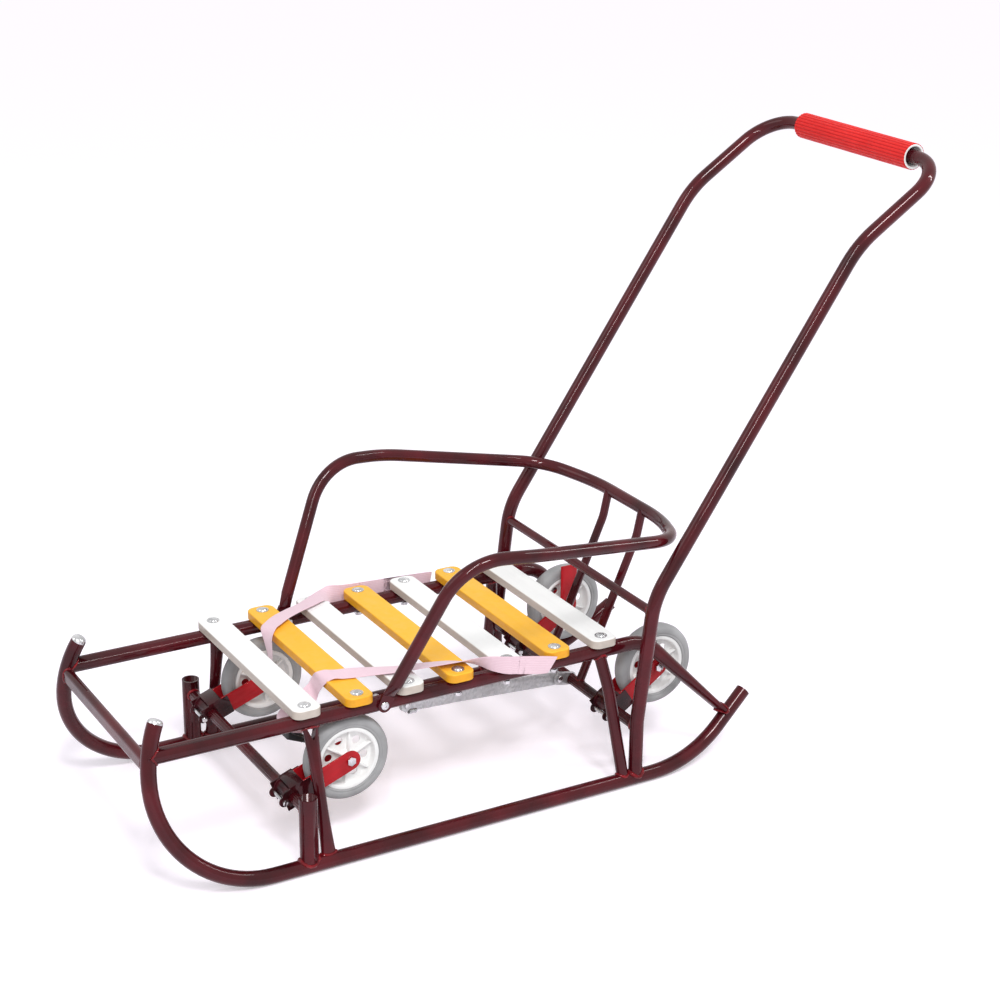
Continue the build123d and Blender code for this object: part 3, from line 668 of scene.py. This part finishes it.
# ------------------------------------------------------------- bow bolts
# A short bolt clamps each flattened foot of the bow to the outside of its
# rail, with a button head outside and a nut inside.
button_outline = [
    (0, 1.2), (1.6, 1.2), (1.9, 2.3), (3.6, 2.2), (5.0, 1.6), (5.8, 0.6), (6, 0), (3, 0), (3, -26), (0, -26)]
bow_bolt = middle_of("bow_bolts")
bow_nut = bow_bolt.copy()
bow_bolt.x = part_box("bow_bolts")[1].x - 2.5 * mm
bow_nut.x = 136.4 * mm
bolts = both_sides(lambda flip: stand(turned(button_outline, 32), bow_bolt * flip, (flip.x, 0, 0)))
bolts += both_sides(lambda flip: stand(nut(10, 5), bow_nut * flip, (flip.x, 0, 0)))
piece("bow_foot_bolts", joined(bolts), "frame", zinc, ["bow_bolts"], 40)


# ------------------------------------------------------------------ wheels
# Solid grey rubber tyres on hubs moulded in white plastic. The tyre has a
# parting line round its tread, the hub six ribs and six holes between them.
rubber, tree, shader = finish("grey_rubber", (0.45, 0.45, 0.455), 0.55, Specular_IOR_Level=0.35)
grey = tint(tree, grain(tree, 35.0, 5.0), (0.3, 0.3, 0.305), (0.38, 0.38, 0.385))
tree.links.new(grey, shader.inputs["Base Color"])
dulled(tree, shader, 140.0, 0.5, 0.72)
relief(tree, shader, grain(tree, 700.0, 4.0), 0.0002, 0.6)
moulding, tree, shader = finish("white_moulding", (0.88, 0.88, 0.87), 0.36)
white = tint(tree, grain(tree, 30.0, 4.0), (0.8, 0.8, 0.79), (0.89, 0.89, 0.88))
tree.links.new(white, shader.inputs["Base Color"])
dulled(tree, shader, 160.0, 0.28, 0.46)
relief(tree, shader, grain(tree, 600.0, 3.0), 0.0001, 0.5)


def mirrored(outline):
    """An outline carried on by its own mirror image below Z 0."""
    return outline + [(radius, -height) for radius, height in reversed(outline)][1:]


tyre_outline = mirrored([
    (60.98, 0.0), (60.9, 0.3), (60.6, 0.45), (60.55, 3.2), (60.0, 6.2), (58.5, 8.9), (56.3, 10.6),
    (53.4, 11.35), (50.6, 11.45), (49.3, 11.2), (48.6, 10.7), (47.9, 11.0), (46.6, 11.2), (45.4, 10.7),
    (44.9, 9.9), (44.9, 0)])
hub_outline = mirrored([
    (44.85, 0), (44.85, 9.4), (44.4, 10.0), (43.2, 10.3), (40.2, 10.3), (39.2, 9.8), (38.5, 8.6),
    (37.4, 4.0), (36.4, 1.8), (35.0, 1.0), (13.0, 1.0), (10.6, 2.2), (9.4, 4.4), (9.0, 6.0), (8.8, 13.6),
    (8.4, 13.9), (4.1, 13.9), (4.1, 0)])


def block(long, wide, high):
    """A bmesh of a block round the origin, from its sizes in millimetres."""
    form = bmesh.new()
    bmesh.ops.create_cube(form, size=1)
    bmesh.ops.scale(form, vec=(long * mm, wide * mm, high * mm), verts=form.verts)
    return form


def hub_form():
    """A bmesh of a hub on Z: a pierced web between the boss and the rim, with ribs."""
    spokes = 6
    hole_circle = 26 * mm
    cutters = []
    for index in range(spokes):
        hole = turned([(0, 8), (5.7, 8), (5.7, -8), (0, -8)], 28)
        angle = tau / spokes * (index + 0.5)
        hole_at = (hole_circle * cos(angle), hole_circle * sin(angle), 0)
        bmesh.ops.translate(hole, vec=hole_at, verts=hole.verts)
        cutters.append(hole)
    forms = [cut_away(turned(hub_outline, 72), cutters)]
    for index in range(spokes):
        rib = block(29.6, 2.2, 15.6)
        for corner in rib.verts:
            if corner.co.x > 0:
                corner.co.z *= 0.82
            corner.co.y *= 1.25 if abs(corner.co.z) < 7 * mm else 1.0
        bevelled(rib, rib.edges[:], 0.4 * mm)
        bmesh.ops.translate(rib, vec=(23.6 * mm, 0, 0), verts=rib.verts)
        rib_turn = Matrix.Rotation(tau / spokes * index, 3, "Z")
        bmesh.ops.rotate(rib, cent=(0, 0, 0), matrix=rib_turn, verts=rib.verts)
        forms.append(rib)
    return joined(forms)


hub_turn = radians(24)
wheel_places = ("front_left", "front_right", "rear_left", "rear_right")
for place in wheel_places:
    axle = middle_of("tyre_" + place)
    outside = (1 if axle.x > 0 else -1, 0, 0)
    piece("rubber_tyre_" + place, stand(turned(tyre_outline, 96), axle, outside), "wheel_" + place,
          rubber, ["tyre_" + place], 60)
    piece("moulded_hub_" + place, stand(hub_form(), axle, outside, hub_turn), "wheel_" + place,
          moulding, ["hub_" + place], 32, outwards=False)


# ------------------------------------------------------------------- forks
# Each fork is two arms of steel strip on a sleeve round its axle bar, painted
# red, with a folded bracket, painted dark, clamped over its base.
def softened(node, width=0.45 * mm):
    """A merged copy of a CAD node with its sharp edges rounded."""
    form = merged(node)
    bmesh.ops.dissolve_limit(form, angle_limit=radians(1), verts=form.verts, edges=form.edges)
    sharp = [edge for edge in form.edges if edge.is_manifold and edge.calc_face_angle(0) > radians(40)]
    bevelled(form, sharp, width)
    bmesh.ops.triangulate(form, faces=form.faces)
    return form


fork_paint, tree, shader = finish(
    "fork_paint", (0.5, 0.009, 0.018), 0.35, Specular_IOR_Level=0.05, Coat_Weight=0.3, Coat_Roughness=0.1)
reach = add(tree, "Attribute", attribute_name="reach")
arm_red = tint(tree, grain(tree, 22.0, 4.0), (0.34, 0.006, 0.011), (0.48, 0.012, 0.019))
base_dark = tint(tree, grain(tree, 60.0, 3.0), (0.02, 0.004, 0.006), (0.06, 0.006, 0.01))
past_base = ranged(tree, reach.outputs["Fac"], 0, 1, 0.012, 0.02)
tree.links.new(blend(tree, past_base, base_dark, arm_red), shader.inputs["Base Color"])
dulled(tree, shader, 120.0, 0.26, 0.44)
relief(tree, shader, grain(tree, 450.0), 0.00012, 0.5)
bracket_paint = candy_paint("candy_bracket", (0.012, 0.004, 0.005), (0.05, 0.005, 0.008), 40.0)

for place in wheel_places:
    axle = middle_of("tyre_" + place)
    pivot = Vector((axle.x, front_bar_y if "front" in place else rear_bar_y, axle_z))
    arm = (axle - pivot).normalized()
    fork = "fork_" + place
    arms = piece("painted_" + fork, softened(fork), fork, fork_paint, [fork], 30,
                 outwards=False)
    along_arm = arms.data.attributes.new("reach", "FLOAT", "POINT")
    for index, vertex in enumerate(arms.data.vertices):
        along_arm.data[index].value = (vertex.co - pivot).dot(arm)
    piece("folded_bracket_" + place, softened("bracket_" + place, 0.35 * mm), fork, bracket_paint,
          ["bracket_" + place], 30, outwards=False)
    piece("axle_bolts_" + place, softened("fork_bolts_" + place, 0.4 * mm), fork, zinc,
          ["fork_bolts_" + place], 30, outwards=False)


# -------------------------------------------------------------- lock strip
# A galvanised strip runs under the seat from a tab on the left rail to a lug
# on the rear axle bar. A spring wire hooks over the bolt at its front end.
galvanised, tree, shader = finish("galvanised", (0.62, 0.63, 0.64), 0.4, 0.55)
spangle = add(tree, "TexVoronoi", {"Vector": add(tree, "TexCoord").outputs["Object"], "Scale": 300.0})
spangled = tint(tree, spangle.outputs["Color"], (0.44, 0.44, 0.45), (0.6, 0.6, 0.61), 0.1, 0.9)
tree.links.new(spangled, shader.inputs["Base Color"])
dulled(tree, shader, 120.0, 0.28, 0.55, 4.0)
relief(tree, shader, grain(tree, 300.0, 4.0), 0.0002, 0.6)
for name in ("lock_strip", "strip_tab", "strip_lug"):
    piece("galvanised_" + name, softened(name, 0.4 * mm), "frame", galvanised, [name], 30,
          outwards=False)
strip_front = Vector((141, -227.5, 179)) * mm
strip_rear = Vector((30, 80, 99.7)) * mm
strip_way = (strip_rear - strip_front).normalized()
strip_side = strip_way.cross(upward).normalized()
strip_down = -strip_side.cross(strip_way).normalized()
wire = turned([(0, 0), (1.1, 0), (1.1, 96), (0, 96)], 16)
coil_turns = 9
coil_steps = 24
coil = bmesh.new()
bmesh.ops.create_circle(coil, radius=0.7 * mm, segments=8)
bmesh.ops.rotate(coil, cent=(0, 0, 0), matrix=Matrix.Rotation(pi / 2, 3, "X"), verts=coil.verts)
bmesh.ops.translate(coil, vec=(3.2 * mm, 0, 0), verts=coil.verts)
spin(coil, tau * coil_turns, coil_steps * coil_turns, 0.07 * mm, False)
bmesh.ops.holes_fill(coil, edges=[edge for edge in coil.edges if edge.is_boundary])
wire_start = strip_front + strip_down * 11.5 * mm + strip_way * 4 * mm
stand(wire, wire_start, strip_way - strip_down * 0.02)
stand(coil, wire_start + strip_way * 6 * mm, strip_way)
piece("spring_wire", joined([wire, coil]), "frame", zinc, sharp=50)
piece("plated_strip_bolts", softened("strip_bolts", 0.5 * mm), "frame", zinc, ["strip_bolts"],
      30, outwards=False)


# ------------------------------------------------------------------ handle
# The grip is a white plastic sleeve in a skin of soft red plastic, ribbed
# along its length, pushed on over the middle of the handle. The grooves between the ribs carry painted
# shade.
grip_red, tree, shader = finish("grip_red", (0.83, 0.02, 0.018), 0.5, Specular_IOR_Level=0.25)
# Painted shade: the red darkens into the grooves between the ribs, by their depth.
sunk = add(tree, "Attribute", attribute_name="groove_shade").outputs["Fac"]
rib_red = tint(tree, grain(tree, 30.0, 4.0), (0.72, 0.018, 0.016), (0.84, 0.027, 0.024))
tree.links.new(blend(tree, sunk, rib_red, (0.5, 0.006, 0.008)), shader.inputs["Base Color"])
dulled(tree, shader, 200.0, 0.42, 0.6)
relief(tree, shader, grain(tree, 500.0, 3.0), 0.00006, 0.4)
grip_low, grip_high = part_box("handle_grip")
grip_middle = middle_of("handle_grip")
far_gap = 10.0 * mm  # by which the grip stops short at its far end
grip_middle.x += far_gap / 2
grip_half = (grip_high.x - grip_low.x - far_gap) / 2
grip_radius = 19.0 * mm
skin_radius = 18.0 * mm
rib_count = 24
rib_steps = 6
rib_deep = 0.8 * mm
rim_sunk = 0.6 * mm


def drawn_edges(form, edges):
    """Draws edges of a bmesh out, still in place, and gives the new corners and edges."""
    drawn = bmesh.ops.extrude_edge_only(form, edges=edges)["geom"]
    new_corners = [part for part in drawn if isinstance(part, bmesh.types.BMVert)]
    return new_corners, [part for part in drawn if isinstance(part, bmesh.types.BMEdge)]


def off_axis(corner):
    """The part of a corner's place that is square to Z."""
    return Vector((corner.co.x, corner.co.y, 0))


form = bmesh.new()
bmesh.ops.create_circle(form, radius=1, segments=rib_count * rib_steps)
for index, corner in enumerate(form.verts):
    corner.co *= grip_radius - rib_deep * max(0, cos(tau * index / rib_steps)) ** 2
ring = form.edges[:]
for step_out in (0.4 * mm, 1.2 * mm, 2 * grip_half - 2.4 * mm, 0.8 * mm, 0.8 * mm):
    new_corners, ring = drawn_edges(form, ring)
    bmesh.ops.translate(form, vec=(0, 0, step_out), verts=new_corners)
first_corners = [corner for corner in form.verts if corner.co.z < 0.1 * mm]
for corner in new_corners + first_corners:
    corner.co -= off_axis(corner).normalized() * rim_sunk
grip_long = max(corner.co.z for corner in form.verts)
for height in (0.0, grip_long):
    rim = [
        edge for edge in form.edges
        if edge.is_boundary and all(abs(corner.co.z - height) < 1e-6 for corner in edge.verts)]
    for corner in drawn_edges(form, rim)[0]:
        corner.co = off_axis(corner).normalized() * skin_radius + Vector((0, 0, corner.co.z))
bmesh.ops.bridge_loops(form, edges=[edge for edge in form.edges if edge.is_boundary])
bmesh.ops.translate(form, vec=(0, 0, -grip_long / 2), verts=form.verts)
grooves = [
    min(1.0, max(0.0, (grip_radius - off_axis(corner).length) / rib_deep)) for corner in form.verts]
stand(form, grip_middle, (1, 0, 0))
skin = piece("grip_skin", form, "handle", grip_red, ["handle_grip"], 50)
# Each corner's groove depth, which sets the painted shade.
groove_shade = skin.data.attributes.new("groove_shade", "FLOAT", "POINT")
for index, depth in enumerate(grooves):
    groove_shade.data[index].value = depth
half = grip_half / mm
sleeve_outline = mirrored([
    (18.05, 0), (18.05, half - 0.4), (17.7, half + 0.3), (17.2, half + 0.5), (15.2, half + 0.5),
    (14.7, half + 0.2), (14.4, half - 0.6), (14.3, half - 30), (10.3, half - 32), (10.3, 0)])
sleeve = stand(turned(sleeve_outline, 72), grip_middle, (1, 0, 0))
piece("grip_sleeve", sleeve, "handle", moulding, sharp=60)


# -------------------------------------------------------------------- belt
# A pink webbing belt, 27 mm wide, in two strands. Each comes up between the
# first two slats, lies along the seat and turns down over the slats' ends.
webbing, tree, shader = finish(
    "pink_webbing", (0.9, 0.68, 0.76), 0.85, Sheen_Weight=0.35, Sheen_Roughness=0.5,
    Specular_IOR_Level=0.25)
cloth = add(tree, "UVMap", uv_map="weave")
across, along = (
    add(tree, "TexWave", {"Vector": cloth.outputs[0], "Scale": scale, "Distortion": 0.0, "Detail": 0.0},
        bands_direction=direction).outputs["Fac"]
    for scale, direction in ((190.0, "Y"), (120.0, "X")))
weave = add(tree, "Math", {0: across, 1: along}, operation="MULTIPLY").outputs[0]
pink = tint(tree, weave, (0.8, 0.56, 0.64), (0.88, 0.69, 0.755), 0.1, 0.8)
tree.links.new(pink, shader.inputs["Base Color"])
relief(tree, shader, weave, 0.0004, 0.7)
belt_wide = 27.0 * mm
belt_thick = 1.4 * mm


def smooth_row(rows, steps):
    """Points on a smooth line through rows of vectors, with so many steps between each pair."""
    made_rows = []
    for index in range(len(rows) - 1):
        before = rows[max(index - 1, 0)]
        here = rows[index]
        there = rows[index + 1]
        after = rows[min(index + 2, len(rows) - 1)]
        for step in range(steps):
            t = step / steps
            made_rows.append([
                0.5 * (2 * b + (c - a) * t + (2 * a - 5 * b + 4 * c - d) * t * t
                       + (3 * b - a - 3 * c + d) * t ** 3)
                for a, b, c, d in zip(before, here, there, after)])
    made_rows.append(rows[-1])
    return made_rows


def ribbon(name, stations, node):
    """Webbing through stations, each its middle in millimetres and the way across the belt there."""
    steps = 8
    columns = 6
    rows = smooth_row(
        [(Vector(middle) * mm, Vector(across).normalized()) for middle, across in stations], steps)
    form = bmesh.new()
    bmesh.ops.create_grid(form, x_segments=columns, y_segments=len(rows) - 1, size=0.5)
    weave_map = form.loops.layers.uv.new("weave")
    lengths = [0.0]
    for (here, _), (there, _) in zip(rows, rows[1:]):
        lengths.append(lengths[-1] + (there - here).length)
    flat = {}
    for corner in form.verts:
        column = round((corner.co.x + 0.5) * columns)
        row = round((corner.co.y + 0.5) * (len(rows) - 1))
        middle, across = rows[row]
        share = column / columns - 0.5
        flat[corner] = (share * belt_wide, lengths[row])
        corner.co = middle + across.normalized() * belt_wide * share
    for face in form.faces:
        for loop in face.loops:
            loop[weave_map].uv = flat[loop.vert]
    bmesh.ops.solidify(form, geom=form.faces[:], thickness=belt_thick)
    made_piece = piece(name, form, "frame", webbing, [node], 60)
    smoothing = made_piece.modifiers.new("smoothing", "SUBSURF")
    smoothing.levels = smoothing.render_levels = 1


slat_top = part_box("slat_1")[1].z / mm
left_stations = [
    ((100, -358, 157), (1, 0, 0)), ((100, -372, 159.5), (1, 0, 0)), ((100, -384, 164.5), (1, 0, 0)),
    ((99, -390, 175), (1, 0, 0)), ((93, -378, 184), (1, 0.1, 0)), ((80, -352, 185), (0.9, 0.3, -0.3)),
    ((73, -333, 191), (0.7, 0.1, -0.6)), ((78, -329, 205), (0.88, 0, -0.45)),
    ((88, -326.5, 218), (0.95, 0.1, -0.25)), ((93, -316, 223.5), (0.98, 0.1, -0.1)),
    ((96, -303, slat_top + 4), (0.99, 0.1, -0.1)), ((101, -284, slat_top + 4), (0.99, 0.05, -0.1)),
    ((109, -256, slat_top + 3.6), (1, -0.05, 0)), ((121, -223, slat_top + 4.5), (0.98, -0.15, 0.12)),
    ((131, -185, slat_top + 6), (0.94, -0.3, 0.2)), ((141, -152, slat_top + 7), (0.85, -0.33, 0.33)),
    ((154, -126, 225), (0.6, -0.35, 0.65)), ((166, -108, 222.5), (0.22, -0.2, 0.95)),
    ((171.6, -88, 218), (0.02, -0.05, 1)), ((172, -62, 212.5), (0, 0.08, 1)),
    ((171.5, -38, 207), (0, 0.3, 1)), ((170.5, -14, 201.5), (-0.03, 0.75, 1))]
right_stations = [
    ((-50, -338, 184), (-0.8, 0.1, -0.6)), ((-60, -334, 198), (-0.8, 0.05, -0.6)),
    ((-72, -331, 211), (-0.85, -0.1, -0.5)), ((-84, -325, slat_top + 3.5), (-0.85, -0.5, -0.2)),
    ((-95, -312, slat_top + 5), (-0.8, -0.58, -0.1)),
    ((-108, -295, slat_top + 5), (-0.82, -0.55, -0.08)),
    ((-120, -272, slat_top + 5), (-0.86, -0.48, -0.1)),
    ((-133, -244, slat_top + 4.5), (-0.88, -0.42, -0.1)),
    ((-146, -220, slat_top + 4.5), (-0.92, -0.25, 0.05)), ((-159, -202, 218.5), (-0.85, 0.05, 0.35)),
    ((-169, -186, 212.5), (-0.3, 0.05, 0.95)), ((-172.3, -168, 209), (-0.05, 0, 1)),
    ((-171.6, -140, 207.7), (0, 0, 1)), ((-171.5, -100, 205.8), (0, 0, 1)),
    ((-171.5, -65, 204), (0, 0, 1)), ((-171, -22, 201.5), (0, 0.2, 1))]
ribbon("webbing_left", left_stations, "belt_left")
ribbon("webbing_right", right_stations, "belt_right")


# ------------------------------------------------------------------ buckle
# The left strand ends in a black moulded buckle, which hangs under the seat.
# It has rounded edges, a slot for the webbing and ridges to grip it by.
body = block(29, 33, 9)
for corner in body.verts:
    if corner.co.y > 0:
        corner.co.x *= 0.78
        corner.co.z *= 0.8
bevelled(body, body.edges[:], 2.2 * mm, 3)
slot = block(25, 3.2, 20)
bmesh.ops.translate(slot, vec=(0, -11 * mm, 0), verts=slot.verts)
forms = [cut_away(body, [slot])]
ridge_count = 5
ridge_start = -3.5 * mm
ridge_pitch = 3.4 * mm
for index in range(ridge_count):
    ridge = block(18, 1.5, 9.6)
    bevelled(ridge, ridge.edges[:], 0.5 * mm)
    bmesh.ops.translate(ridge, vec=(0, ridge_start + ridge_pitch * index, 0), verts=ridge.verts)
    forms.append(ridge)
form = joined(forms)
buckle_middle = Vector((99, -372, 149)) * mm
buckle_way = Vector((0, 0.9, -0.45)).normalized()
across = Vector(sideways)
turn = Matrix((across, buckle_way, across.cross(buckle_way))).transposed().to_4x4()
bmesh.ops.transform(form, matrix=Matrix.Translation(buckle_middle) @ turn, verts=form.verts)
piece("moulded_buckle", form, "frame", black_plastic, ["belt_buckle"], 40)
